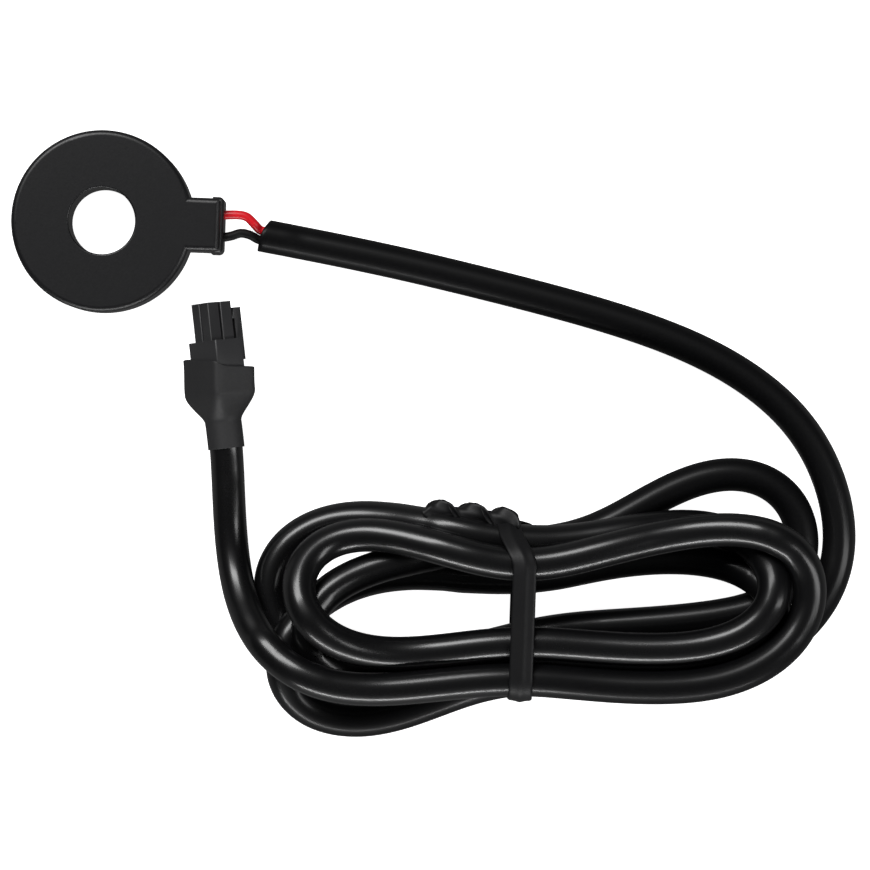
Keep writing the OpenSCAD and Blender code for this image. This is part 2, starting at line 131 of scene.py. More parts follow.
# Hair's breadth between the cable and the sheet, and between two cores side by side.
lift = 0.00005
outlet_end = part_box("case_shell")[1].x

# Distance past the outlet's end, Y and height of the line off its resting height.
lead_points = [
    (0.006, -0.0012, 0.0006), (0.0125, -0.0022, 0.0002), (0.021, -0.0036, 0),
    (0.0295, -0.0051, 0), (0.038, -0.0068, 0), (0.0465, -0.0086, 0), (0.055, -0.0105, 0),
    (0.0635, -0.0126, 0), (0.072, -0.0151, 0), (0.08, -0.0181, 0), (0.087, -0.0218, 0),
    (0.093, -0.0261, 0), (0.0978, -0.0312, 0), (0.1011, -0.0372, 0), (0.1032, -0.0438, 0),
    (0.1039, -0.05, 0)]

# Same for the hank, but with the layer that the cable lies in at each point: 0 on the sheet,
# 1 on another strand, 2 on two strands. There is one list to a turn, which ends where the
# cable passes the tie on the hank's far side. The last half turn ends at the tie's near side.
hank_turns = [
    [
        (0.1027, -0.0556, 0), (0.0998, -0.0608, 0), (0.0954, -0.0654, 0), (0.0899, -0.0688, 0),
        (0.084, -0.0709, 0), (0.0755, -0.0722, 0), (0.0655, -0.0729, 0), (0.0515, -0.0732, 0.2),
        (0.0435, -0.075, 0), (0.0373, -0.0777, 0), (0.0308, -0.0802, 0), (0.0251, -0.0813, 0),
        (0.0201, -0.081, 0), (0.0155, -0.079, 0.4), (0.0127, -0.076, 0.8), (0.0117, -0.0724, 1),
        (0.0124, -0.0686, 1), (0.0146, -0.0652, 0.6), (0.0174, -0.0624, 0), (0.0203, -0.06, 0),
        (0.024, -0.0582, 0), (0.0285, -0.057, 0), (0.0355, -0.0562, 0), (0.0425, -0.0557, 0),
        (0.0515, -0.0563, 0.2)],
    [
        (0.0601, -0.0546, 0), (0.0679, -0.0531, 0), (0.0758, -0.0525, 0.2), (0.0825, -0.0527, 0.4),
        (0.0884, -0.054, 0.8), (0.0926, -0.0567, 1), (0.0942, -0.0608, 1), (0.0924, -0.065, 0.8),
        (0.0878, -0.0678, 0.8), (0.0815, -0.0694, 0.8), (0.0755, -0.07, 0.8),
        (0.0675, -0.0702, 0.8), (0.0515, -0.0698, 0.8), (0.0415, -0.0712, 0.8),
        (0.0315, -0.0732, 0.8), (0.025, -0.0741, 1), (0.0205, -0.0732, 1), (0.0173, -0.0706, 1),
        (0.0157, -0.067, 1), (0.0157, -0.0635, 1), (0.0179, -0.0606, 1), (0.0227, -0.0576, 1),
        (0.028, -0.0553, 0.8), (0.0355, -0.0534, 0.4), (0.0435, -0.052, 0),
        (0.0515, -0.0512, 0.2)],
    [
        (0.0575, -0.0504, 0), (0.063, -0.0486, 0), (0.0675, -0.046, 0), (0.0725, -0.0428, 0),
        (0.0775, -0.0402, 0), (0.082, -0.0386, 0), (0.0862, -0.0379, 0), (0.0904, -0.0385, 0),
        (0.0939, -0.0403, 0), (0.0965, -0.0434, 0), (0.0977, -0.0475, 0), (0.0975, -0.0515, 0),
        (0.0963, -0.0561, 0), (0.0928, -0.0594, 0), (0.087, -0.0607, 0), (0.0823, -0.0618, 0),
        (0.0762, -0.0629, 0), (0.0684, -0.0638, 0), (0.0585, -0.0648, 0), (0.054, -0.0656, 0),
        (0.0495, -0.067, 0.2), (0.0435, -0.0688, 0), (0.0365, -0.0708, 0), (0.0295, -0.0722, 0),
        (0.0225, -0.0724, 0), (0.0165, -0.0706, 0), (0.0123, -0.067, 0), (0.01, -0.0632, 0),
        (0.0093, -0.0595, 0), (0.0098, -0.0554, 0), (0.0127, -0.0516, 0), (0.0175, -0.0488, 0),
        (0.0232, -0.0474, 0), (0.0295, -0.0477, 0.2), (0.0375, -0.0488, 0.8), (0.0515, -0.0504, 1)],
    [
        (0.0575, -0.0502, 0.8), (0.0642, -0.0491, 0.4), (0.0725, -0.0475, 0), (0.0805, -0.0469, 0),
        (0.0865, -0.0483, 0.4), (0.0909, -0.0514, 1), (0.0929, -0.055, 1.6), (0.0928, -0.0587, 2),
        (0.0907, -0.0622, 2), (0.0865, -0.0648, 1.8), (0.0818, -0.0662, 1.8),
        (0.076, -0.067, 1.6), (0.0648, -0.0673, 1.6), (0.0515, -0.0668, 1.6),
        (0.0415, -0.0681, 1.4), (0.0344, -0.0691, 1.4), (0.0282, -0.0693, 1.4),
        (0.0228, -0.0684, 1.6), (0.0184, -0.0661, 1.8), (0.0154, -0.0629, 1.8),
        (0.0142, -0.0595, 1.6), (0.0145, -0.0562, 1.4), (0.0165, -0.0531, 1.2),
        (0.0201, -0.0509, 1), (0.025, -0.05, 1), (0.0337, -0.051, 1), (0.0426, -0.053, 1),
        (0.0515, -0.0544, 1)],
    [
        (0.0577, -0.0532, 1), (0.0643, -0.0511, 1), (0.0725, -0.0492, 1), (0.0808, -0.0476, 1),
        (0.0868, -0.0473, 1.2), (0.0915, -0.0478, 1.2), (0.0953, -0.0496, 1.2),
        (0.0979, -0.0529, 1.2), (0.0987, -0.057, 1), (0.0982, -0.0609, 1), (0.0959, -0.065, 1),
        (0.0913, -0.0689, 1), (0.0849, -0.072, 1), (0.0759, -0.0733, 1), (0.0639, -0.0735, 1.2),
        (0.0515, -0.0727, 1.6)]]
tail_points = [
    (0.0445, -0.0734, 1.4), (0.0381, -0.0742, 1.2), (0.0313, -0.075, 1.2), (0.0243, -0.0754, 1.4),
    (0.0167, -0.074, 1.6), (0.0114, -0.0708, 1.8), (0.0073, -0.066, 1.4), (0.0052, -0.0618, 0.8),
    (0.0037, -0.0565, 0.4), (0.0028, -0.051, 0.2), (0.0023, -0.046, 0.2), (0.002, -0.0405, 0.4),
    (0.0016, -0.036, 0.6), (0.0012, -0.0332, 0.6)]


def through(points, steps):
    """Smooth line through given points: a Catmull-Rom cubic between each two neighbours."""
    p = np.vstack([points[:1], points, points[-1:]])
    a, b, c, d = (p[k:len(p) - 3 + k, None] for k in range(4))
    t = np.linspace(0, 1, steps, endpoint=False)[None, :, None]
    line = 0.5 * (2 * b + (c - a) * t + (2 * a - 5 * b + 4 * c - d) * t**2
                  + (3 * b - a - 3 * c + d) * t**3)
    return np.vstack([line.reshape(-1, p.shape[1]), points[-1:]])


def evenly(line, step):
    """The same line with points about one step apart along its length."""
    along = np.append(0, np.cumsum(np.linalg.norm(np.diff(line, axis=0), axis=1)))
    places = np.linspace(0, along[-1], round(along[-1] / step) + 1)
    return np.stack([np.interp(places, along, column) for column in line.T], 1)


def unit(vectors):
    """Each vector divided by its length."""
    return vectors / np.linalg.norm(vectors, axis=-1, keepdims=True)


def settled(line, lowest, fixed_start, fixed_end, rounds=500):
    """Lays a line of cable to rest. Each round draws every point back to its place in plan and
    down, evens the bends (the second difference of the second difference goes to nought) and
    flattens those in height, and lifts strands that cross, or parts strands that run side by
    side, until they are a diameter apart. A point with n contacts moves by their sum over
    n^crowding. Nothing goes lower than the given heights, and the two ends stay fixed."""
    draw_back = 0.06
    sink = 0.00003
    even_out = 0.3
    unbend = 0.02
    part_share = 0.3
    lift_share = 0.5
    crowding = 0.6
    search_every = 10
    search_room = 0.003
    next_strand = 2.2 * cable_d
    crossing_room = 0.8 * cable_d
    no_distance = 1e-6
    laid = line.copy()
    count = len(line)
    step = np.linalg.norm(line[1] - line[0])
    first, second = np.triu_indices(count, int(next_strand / step))
    for k in range(rounds):
        laid[:, :2] += draw_back * (line[:, :2] - laid[:, :2])
        laid[:, 2] -= sink
        for reach in (1, 3):
            bend = np.zeros_like(laid)
            bend[reach:-reach] = (laid[2 * reach:] + laid[:-2 * reach]) / 2 - laid[reach:-reach]
            change = (bend[2 * reach:] + bend[:-2 * reach]) / 2 - bend[reach:-reach]
            laid[2 * reach:-2 * reach] -= even_out * change[reach:-reach]
            laid[:, 2] += unbend * bend[:, 2]
        if k % search_every == 0:
            near = ((laid[first] - laid[second])**2).sum(1) < (cable_d + search_room)**2
            a, b = first[near], second[near]
        apart = laid[a] - laid[b]
        in_plan = np.hypot(apart[:, 0], apart[:, 1])
        distance = np.maximum(np.linalg.norm(apart, axis=1), no_distance)
        crossing = in_plan < crossing_room
        touching = distance < cable_d
        rise = np.sqrt(np.clip(cable_d**2 - in_plan**2, 0, None)) - np.abs(apart[:, 2])
        parted = np.where(crossing | ~touching, 0, cable_d / distance - 1)
        lifted = np.where(crossing & touching, rise, 0) * np.sign(apart[:, 2])
        push = part_share * apart * parted[:, None]
        push[:, 2] += lift_share * lifted
        moves = np.zeros_like(laid)
        np.add.at(moves, a, push)
        np.add.at(moves, b, -push)
        contacts = np.bincount(a[touching], minlength=count) + np.bincount(b[touching], minlength=count)
        laid += moves / np.maximum(contacts[:, None]**crowding, 1)
        laid[:, 2] = np.maximum(laid[:, 2], lowest(laid))
        laid[:fixed_start] = line[:fixed_start]
        laid[-fixed_end:] = line[-fixed_end:]
    return laid


# The tie's place, the room that its strap takes under the cable and how soon that runs out, and
# the Y that parts the hank from the lead.
tie_x = outlet_end + 0.0515
strap_room = 0.0011
strap_reach = 0.005
hank_far_y = -0.04


def resting_height(line):
    """Height of the cable's centre on the sheet, raised round the tie's X by a bell curve as high
    as the strap's room where the hank lies on the strap."""
    under_tie = np.exp(-((line[:, 0] - tie_x) / strap_reach)**2) * (line[:, 1] < hank_far_y)
    return cable_r + lift + strap_room * under_tie


route = np.array([(x, y, z / cable_d) for x, y, z in lead_points]
                 + [point for turn in hank_turns for point in turn] + tail_points)
route[:, 0] += outlet_end
route[:, 2] = cable_r + lift + cable_d * route[:, 2]
route = evenly(through(route, steps=12), step=0.0015)
cable_line = settled(route, resting_height, fixed_start=4, fixed_end=6)
cable_line = evenly(through(cable_line, steps=3), step=0.0007)


def link(name, mesh):
    """New object that shows this mesh, at the origin, riding with the part."""
    piece = bpy.data.objects.new(name, mesh)
    bpy.context.scene.collection.objects.link(piece)
    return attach(piece, "root")


def skin(name, rings, closed=False, **attributes):
    """Mesh through rings of points set along a path, which run from the path's right over its
    top: a quad between each two neighbours on neighbouring rings, and one face across each end
    unless the path is closed. An attribute gives a value to each ring or to each of its points."""
    count, sides = rings.shape[:2]
    row = np.arange(count if closed else count - 1)[:, None]
    k = np.arange(sides)
    here, there = row * sides, (row + 1) % count * sides
    right = (k + 1) % sides
    faces = np.stack([here + k, there + k, there + right, here + right], -1).reshape(-1, 4).tolist()
    if not closed:
        faces += [k.tolist(), (k[::-1] + (count - 1) * sides).tolist()]
    mesh = bpy.data.meshes.new(name)
    mesh.from_pydata(rings.reshape(-1, 3), [], faces)
    mesh.shade_smooth()
    for title, values in attributes.items():
        layer = mesh.attributes.new(title, "FLOAT", "POINT")
        values = np.broadcast_to(np.reshape(values, (count, -1)), (count, sides))
        layer.data.foreach_set("value", values.astype(np.float32).ravel())
    return link(name, mesh)


def aims_along(line):
    """Direction of a line at each of its points."""
    return unit(np.gradient(line, axis=0))


def round_rings(line, aims, radii, sides):
    """Circles round a line, square to its direction: centre + r (cos a side + sin a top),
    where side is level."""
    side = unit(np.cross(aims, (0, 0, 1)))
    top = np.cross(side, aims)
    a = np.linspace(0, 2 * np.pi, sides, endpoint=False)[None, :, None]
    radii = np.broadcast_to(radii, len(line))[:, None, None]
    return line[:, None] + radii * (np.cos(a) * side[:, None] + np.sin(a) * top[:, None])


# The jacket is cut a little askew and stands hollow for a short way round its two cores.
jacket_bore = 0.0019
jacket_recess = 0.0012
cut_edge = 0.00012
slant = 0.0012
slant_reach = 0.004
aims = aims_along(cable_line)
length_along = np.append(0, np.cumsum(np.linalg.norm(np.diff(cable_line, axis=0), axis=1)))

# Distance into the cable and radius of the cut's rings, which go from the middle of the hollow
# up its wall and over the softened edge.
cut_profile = np.array([
    (jacket_recess, 0.0001), (jacket_recess, jacket_bore), (cut_edge, jacket_bore),
    (0, jacket_bore + 0.00015), (0, cable_r - cut_edge), (0.0001, cable_r - 0.00002)])
jacket_along = np.append(cut_profile[:, 0], length_along[1:])
jacket_line = np.vstack([cable_line[0] + cut_profile[:, :1] * aims[0], cable_line[1:]])
jacket_aims = np.vstack([np.repeat(aims[:1], len(cut_profile), 0), aims[1:]])
jacket_radii = np.append(cut_profile[:, 1], np.full(len(cable_line) - 1, cable_r))
jacket_rings = round_rings(jacket_line, jacket_aims, jacket_radii, sides=24)

# The askew cut moves a point along by the slant times (its share of the radius to the left)^1.5,
# fading out over the slant's reach.
jacket_left = unit(np.cross((0, 0, 1), aims[0]))
off_left = np.clip((jacket_rings - jacket_line[:, None]) @ jacket_left / cable_r, 0, 1)
off_end = np.clip(1 - jacket_along / slant_reach, 0, 1)
jacket_rings += (slant * off_left**1.5 * off_end[:, None])[..., None] * aims[0]

# Stretches that were wiped dull, each from one length along the cable to another. They come and
# go as logistic curves, and in between the jacket has kept its extruded gloss.
dull_stretches = [
    (-0.02, 0.092), (0.118, 0.165), (0.186, 0.224), (0.29, 0.317), (0.458, 0.53), (0.688, 0.706),
    (0.895, 0.945)]
dull_fade = 0.006
dulled = np.zeros(len(jacket_along))
for start, end in dull_stretches:
    begun = 1 / (1 + np.exp((start - jacket_along) / dull_fade))
    dulled += begun / (1 + np.exp((jacket_along - end) / dull_fade))
cable = skin("cable", jacket_rings, dulled=dulled)
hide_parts("cable_lead", "cable_hank", "cable_tail")


def material(name, colour, roughness):
    """New Principled material with this colour and roughness, its node tree and its shader."""
    made = bpy.data.materials.new(name)
    made.use_nodes = True
    shader = made.node_tree.nodes["Principled BSDF"]
    shader.inputs["Base Color"].default_value = (*colour, 1)
    shader.inputs["Roughness"].default_value = roughness
    return made, made.node_tree, shader


def add(tree, kind, **settings):
    """New node in a tree; a setting named like an input sets that input, others set the node."""
    node = tree.nodes.new("ShaderNode" + kind)
    for title, value in settings.items():
        if title in node.inputs:
            node.inputs[title].default_value = value
        else:
            setattr(node, title, value)
    return node


def feed(tree, source, *sinks):
    """Joins an output socket to input sockets."""
    for sink in sinks:
        tree.links.new(source, sink)


def between(tree, factor, low, high):
    """Number that goes from low to high as the factor goes from 0 to 1."""
    node = add(tree, "MapRange")
    node.inputs["To Min"].default_value = low
    node.inputs["To Max"].default_value = high
    feed(tree, factor, node.inputs["Value"])
    return node.outputs["Result"]


def mixed(tree, factor, first, second):
    """Colour that goes from the first to the second as the factor goes from 0 to 1."""
    node = add(tree, "Mix", data_type="RGBA")
    node.inputs["A"].default_value = (*first, 1)
    node.inputs["B"].default_value = (*second, 1)
    feed(tree, factor, node.inputs["Factor"])
    return node.outputs["Result"]


def bumped(tree, shader, height, depth):
    """Raises a shader's surface by a height from 0 to 1 times a depth in metres."""
    node = add(tree, "Bump", Distance=depth)
    node.inputs["Strength"].default_value = 1
    feed(tree, height, node.inputs["Height"])
    feed(tree, node.outputs["Normal"], shader.inputs["Normal"])


# Slow cloudy patches and a fine grain, shared by the moulded and extruded plastics.
plastic_skin = bpy.data.node_groups.new("plastic_skin", "ShaderNodeTree")
plastic_skin.interface.new_socket("Patch Scale", in_out="INPUT", socket_type="NodeSocketFloat")
plastic_skin.interface.new_socket("Grain Scale", in_out="INPUT", socket_type="NodeSocketFloat")
plastic_skin.interface.new_socket("Patches", in_out="OUTPUT", socket_type="NodeSocketFloat")
plastic_skin.interface.new_socket("Grain", in_out="OUTPUT", socket_type="NodeSocketFloat")
group_in = plastic_skin.nodes.new("NodeGroupInput")
group_out = plastic_skin.nodes.new("NodeGroupOutput")
place = add(plastic_skin, "TexCoord")
for size, result in (("Patch Scale", "Patches"), ("Grain Scale", "Grain")):
    noise = add(plastic_skin, "TexNoise", Detail=3)
    feed(plastic_skin, place.outputs["Object"], noise.inputs["Vector"])
    feed(plastic_skin, group_in.outputs[size], noise.inputs["Scale"])
    feed(plastic_skin, noise.outputs["Fac"], group_out.inputs[result])


def skinned(tree, patch_scale, grain_scale):
    """The plastic skin's patches and grain at these scales, as two outputs."""
    node = add(tree, "Group", node_tree=plastic_skin)
    node.inputs["Patch Scale"].default_value = patch_scale
    node.inputs["Grain Scale"].default_value = grain_scale
    return node.outputs["Patches"], node.outputs["Grain"]


def plastic(name, low, high, roughness, scales, depth, shine=0.5):
    """Coloured plastic: patches lead its colour from low to high, the grain leads its roughness
    between two values and raises its surface by the depth, and scales are those of the two.
    Shine is how strongly it mirrors light, from 0 for none."""
    made, tree, shader = material(name, low, roughness[0])
    shader.inputs["Specular IOR Level"].default_value = shine
    patches, grain = skinned(tree, *scales)
    feed(tree, mixed(tree, patches, low, high), shader.inputs["Base Color"])
    feed(tree, between(tree, grain, *roughness), shader.inputs["Roughness"])
    bumped(tree, shader, grain, depth)
    return made


# Dull black PVC under the gloss that extrusion leaves, which is worn off along the dulled
# stretches and thinner in patches. The cores press slow shallow dents in the jacket.
jacket, tree, shader = material("glossy_pvc", (0.003, 0.003, 0.0032), 0.5)
shader.inputs["Specular IOR Level"].default_value = 0.1
shader.inputs["Coat Roughness"].default_value = 0.24
patches, grain = skinned(tree, patch_scale=90, grain_scale=2500)
wiped = add(tree, "Attribute", attribute_name="dulled")
gloss = add(tree, "Math", operation="MULTIPLY")
feed(tree, between(tree, wiped.outputs["Fac"], 0.9, 0.06), gloss.inputs[0])
feed(tree, between(tree, patches, 0.7, 1), gloss.inputs[1])
feed(tree, gloss.outputs["Value"], shader.inputs["Coat Weight"])
feed(tree, between(tree, grain, 0.42, 0.55), shader.inputs["Roughness"])
soot = mixed(tree, grain, (0.0016, 0.0016, 0.0018), (0.0034, 0.0034, 0.0038))
feed(tree, soot, shader.inputs["Base Color"])
bumped(tree, shader, patches, depth=0.00002)
cable.data.materials.append(jacket)

# ---- Wires ----
# Two stranded copper wires in PVC, red and black. They come through holes in the outlet's
# end wall, bend once each and go into the cut end of the jacket. At the other end they
# spread from the jacket to the plug's two crimped contacts.
wire_d = 0.0015
wire_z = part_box("case_shell")[1].z / 2
wire_pitch = 0.0037

# Each lead's side, and its bend's points: distance past the outlet's end, Y, and height from the
# outlet's middle.
lead_bends = {
    "red": (1, [(0.0022, 0.00195, -0.0001), (0.0037, 0.00165, -0.0002), (0.0049, 0.0006, -0.0004)]),
    "black": (-1, [(0.0013, -0.00155, -0.0001), (0.0028, -0.00105, -0.0004), (0.0043, -0.0013, -0.0006)])}
wire_pvc = {
    "red": plastic("red_wire_pvc", (0.6, 0.007, 0.014), (0.72, 0.012, 0.022), (0.3, 0.42),
                   (400, 6000), 0.00001),
    "black": plastic("black_wire_pvc", (0.002, 0.002, 0.002), (0.004, 0.004, 0.0045), (0.45, 0.6),
                     (400, 6000), 0.00001, shine=0.2)}


def wire(name, colour, points, node):
    """Round wire through these points, which stands for a plain tube of the CAD model."""
    line = through(np.array(points), steps=8)
    made = skin(name, round_rings(line, aims_along(line), wire_d / 2, sides=20))
    made.data.materials.append(wire_pvc[colour])
    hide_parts(node)


for colour, (side, bend) in lead_bends.items():
    core_in_jacket = cable_line[0] + side * (wire_d / 2 + lift) * jacket_left
    wire(colour + "_lead", colour,
         [(outlet_end + x, side * wire_pitch / 2, wire_z) for x in (-0.0018, -0.0008, 0)]
         + [(outlet_end + x, y, wire_z + z) for x, y, z in bend]
         + [tuple(core_in_jacket + s * aims[0]) for s in (-0.0002, 0.0009)], "lead_" + colour)

# ---- Ring housing ----
# A ring-shaped case and its base cover, injection moulded in black flame-retardant plastic
# with a fine spark-eroded grain. The coil goes in from below and the cover is welded in.


def dress(node, made):
    """Gives a solid of the CAD model this material alone."""
    slots = bpy.data.objects[node].data.materials
    slots.clear()
    slots.append(made)


for node, low, high in (("case_shell", (0.0042, 0.0042, 0.0049), (0.006, 0.006, 0.0067)),
                        ("case_cover", (0.005, 0.005, 0.0057), (0.007, 0.007, 0.0077))):
    dress(node, plastic(node + "_plastic", low, high, (0.34, 0.46), (60, 4500), 0.00001, shine=0.4))

# ---- Coil ----
# Grain-oriented steel strip wound into a ring, wrapped in paper, with enamelled copper wire
# wound through and round it and yellow polyester tape over all. Closed in by the housing.

# Distance from the bore's axis, and angle round it in turns, of a point of the surface.
round_axis = bpy.data.node_groups.new("round_axis", "ShaderNodeTree")
round_axis.interface.new_socket("Radius", in_out="OUTPUT", socket_type="NodeSocketFloat")
round_axis.interface.new_socket("Turn", in_out="OUTPUT", socket_type="NodeSocketFloat")
group_out = round_axis.nodes.new("NodeGroupOutput")
place = add(round_axis, "TexCoord")
parts = add(round_axis, "SeparateXYZ")
flat = add(round_axis, "CombineXYZ")
radius = add(round_axis, "VectorMath", operation="LENGTH")
angle = add(round_axis, "Math", operation="ARCTAN2")
turn = add(round_axis, "Math", operation="DIVIDE")
turn.inputs[1].default_value = 2 * np.pi
feed(round_axis, place.outputs["Object"], parts.inputs[0])
feed(round_axis, parts.outputs["X"], flat.inputs["X"], angle.inputs[1])
feed(round_axis, parts.outputs["Y"], flat.inputs["Y"], angle.inputs[0])
feed(round_axis, flat.outputs["Vector"], radius.inputs[0])
feed(round_axis, angle.outputs["Value"], turn.inputs[0])
feed(round_axis, radius.outputs["Value"], group_out.inputs["Radius"])
feed(round_axis, turn.outputs["Value"], group_out.inputs["Turn"])


def ringed(name, node, output, count, low, high, roughness, depth):
    """Dresses a solid in a material with even waves: the sine of 2 pi count times its radius or
    its turn leads the colour from low to high and raises the surface by the depth. Gives the
    material's shader."""
    made, tree, shader = material(name, low, roughness)
    axis = add(tree, "Group", node_tree=round_axis)
    phase = add(tree, "Math", operation="MULTIPLY")
    phase.inputs[1].default_value = 2 * np.pi * count
    wave = add(tree, "Math", operation="SINE")
    half = add(tree, "Math", operation="MULTIPLY_ADD")
    half.inputs[1].default_value = 0.5
    half.inputs[2].default_value = 0.5
    feed(tree, axis.outputs[output], phase.inputs[0])
    feed(tree, phase.outputs["Value"], wave.inputs[0])
    feed(tree, wave.outputs["Value"], half.inputs[0])
    feed(tree, mixed(tree, half.outputs["Value"], low, high), shader.inputs["Base Color"])
    bumped(tree, shader, half.outputs["Value"], depth)
    dress(node, made)
    return shader


steel = ringed("wound_strip_steel", "core", "Radius", 4000, (0.32, 0.33, 0.35), (0.5, 0.51, 0.53),
               0.3, 0.00002)
steel.inputs["Metallic"].default_value = 1
enamel = ringed("enamelled_copper", "winding", "Turn", 480, (0.4, 0.13, 0.035), (0.62, 0.25, 0.08),
                0.28, 0.00004)
enamel.inputs["Metallic"].default_value = 0.9
enamel.inputs["Coat Weight"].default_value = 0.6
ringed("polyester_tape", "winding_tape", "Turn", 18, (0.66, 0.45, 0.05), (0.8, 0.6, 0.1), 0.22, 0.00003)
dress("core_wrap", plastic("insulating_paper", (0.55, 0.45, 0.27), (0.68, 0.58, 0.38), (0.75, 0.9),
                           (300, 3000), 0.00003))

# ---- Splices and resin ----
# The coil's two wire ends are crimped to the leads inside shrunk sleeves, and brown epoxy
# is poured round them in the outlet, so that a pull on the leads never reaches the coil.
dress("potting", plastic("cast_epoxy", (0.045, 0.03, 0.018), (0.08, 0.055, 0.035), (0.18, 0.3),
                         (250, 2000), 0.00002))
for colour, low, high in (("red", (0.4, 0.012, 0.02), (0.5, 0.02, 0.03)),
                          ("black", (0.012, 0.012, 0.013), (0.02, 0.02, 0.021))):
    dress("splice_sleeve_" + colour,
          plastic(colour + "_sleeve", low, high, (0.35, 0.5), (500, 5000), 0.00002))

# ---- Twist tie ----
# A flat black plastic strip with a steel wire moulded along its middle. It goes once round
# the waist of the hank, and its two ends are twisted together along the far side.
tie_w = 0.0039
tie_t = 0.0005
wire_bulge = 0.0005
bulge_reach = 0.4

# The strip's outline: over its flat half thickness with rounded edges, which is
# t / 2 sqrt(1 - a^8) at a share a of its half width, the wire's bulge rises as a bell curve.
across = np.array([1, 0.92, 0.75, 0.5, 0.3, 0.2, 0.1, 0, -0.1, -0.2, -0.3, -0.5, -0.75, -0.92, -1])
bulge = wire_bulge / 2 * np.exp(-(across / bulge_reach)**2) * (1 - across**2)
half_t = tie_t / 2 * np.sqrt(1 - across**8) + bulge
strip_outline = np.vstack([np.stack([across * tie_w / 2, half_t], 1),
                           np.stack([across * tie_w / 2, -half_t], 1)[-2:0:-1]])


def strip(name, line, widths, closed=False):
    """Flat strip along a line: its outline is carried with the widths' direction across it and
    the direction square to both the line and its width as its thickness."""
    ahead = aims_along(line) if not closed else unit(np.roll(line, -1, 0) - np.roll(line, 1, 0))
    thick = unit(np.cross(widths, ahead))
    wide = np.cross(ahead, thick)
    rings = (line[:, None] + strip_outline[:, 0, None] * wide[:, None]
             + strip_outline[:, 1, None] * thick[:, None])
    made = skin(name, rings, closed)
    made.data.materials.append(tie_vinyl)
    return made


tie_vinyl = plastic("tie_vinyl", (0.004, 0.004, 0.0045), (0.007, 0.007, 0.0075), (0.42, 0.56),
                    (300, 4000), 0.00001, shine=0.22)

# The strap lies where a string pulled round the strands does: in each direction it touches
# the strand that reaches furthest, so its point there is centre + (r + room) direction. Over
# the far strands it veers left, to where its ends are twisted: by veer times 3 f^2 - 2 f^3,
# where f goes from 0 to 1 towards the far side and upwards.
smoothings = 12
veer = 0.0027
veer_start = -0.0545
veer_reach = 0.007
veer_rise = 0.01
passing = (cable_line[:-1, 0] - tie_x) * (cable_line[1:, 0] - tie_x) < 0
strands = cable_line[:-1][passing & (cable_line[:-1, 1] < hank_far_y), 1:]
turn = np.radians(np.arange(0, 360, 0.5))
outward = np.stack([np.cos(turn), np.sin(turn)], 1)
touched = strands[(strands @ outward.T).argmax(0)]
strap = touched + (cable_r + tie_t / 2 + wire_bulge / 2) * outward
strap = evenly(np.vstack([strap, strap[:1]]), step=0.0005)[:-1]
for k in range(smoothings):
    strap = (np.roll(strap, 1, 0) + 2 * strap + np.roll(strap, -1, 0)) / 4
far = np.clip((strap[:, 0] - veer_start) / veer_reach, 0, 1) * np.clip(strap[:, 1] / veer_rise, 0, 1)
strap = np.column_stack([tie_x - veer * far**2 * (3 - 2 * far), strap])
strap_width = np.broadcast_to((1.0, 0, 0), strap.shape)
tie_loop = strip("tie_loop", strap, strap_width, closed=True)
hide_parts("twist_tie")

# The two ends leave the strap at its far upper corner, lie back to back and turn round each
# other once every pitch, in quick half turns with flat stretches between, and then part. Their
# roll is r + flat_stretch sin(2 r), where r grows evenly along them.
knot_rise = 0.35
knot = strap[np.argmax(strap[:, 1] + knot_rise * strap[:, 2])]
twist_pitch = 0.0108
first_roll = 0.4
flat_stretch = 0.38
parting = 0.75
tip_gap = 0.0006
twist_points = knot + np.array([
    (0.0007, -0.0007, 0.0003), (0, 0.0001, 0.0002), (-0.0013, 0.0007, 0.0001), (-0.004, 0.001, -0.0003),
    (-0.008, 0.0013, -0.0006), (-0.0115, 0.0015, -0.001), (-0.0132, 0.0016, -0.0012)])
twist_path = evenly(through(twist_points, steps=8), step=0.0004)
s = np.linspace(0, 1, len(twist_path))[:, None]
length = np.linalg.norm(np.diff(twist_path, axis=0), axis=1).sum()
ahead = aims_along(twist_path)
level = unit(np.cross(ahead, (0, 0, 1)))
upright = np.cross(level, ahead)
roll = 2 * np.pi * length / twist_pitch * s + first_roll
roll += flat_stretch * np.sin(2 * roll)
wide = np.cos(roll) * upright + np.sin(roll) * level
thick = np.cross(ahead, wide)
apart = (tie_t + wire_bulge) / 2 + tip_gap * np.clip((s - parting) / (1 - parting), 0, 1)**1.5
for side, name in ((1, "tie_end_upper"), (-1, "tie_end_lower")):
    strip(name, twist_path + side * apart * thick, wide)

# ---- Plug ----
# A four-way housing moulded in black nylon: two rows of two square silos, a stepped body
# behind them and a sprung latch beside them. Two of its four holes hold contacts of tinned
# brass, crimped to the wires and clicked in from behind.
nylon = plastic("black_nylon", (0.018, 0.018, 0.019), (0.029, 0.029, 0.0305), (0.36, 0.5),
                (200, 5000), 0.000012)
housing_mesh = bpy.data.objects["plug_housing"].data.copy()
shape = bmesh.new()
shape.from_mesh(housing_mesh)
bmesh.ops.remove_doubles(shape, verts=shape.verts, dist=0.000002)
bmesh.ops.dissolve_limit(shape, angle_limit=np.radians(1), verts=shape.verts, edges=shape.edges)
shape.to_mesh(housing_mesh)
shape.free()
housing_mesh.materials.clear()
housing_mesh.materials.append(nylon)
housing_mesh.shade_smooth()
housing = link("four_way_housing", housing_mesh)
edges = housing.modifiers.new("moulded_edges", "BEVEL")
edges.width = 0.00009
edges.segments = 2
edges.limit_method = "ANGLE"
edges.angle_limit = np.radians(35)
edges.harden_normals = True
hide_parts("plug_housing")

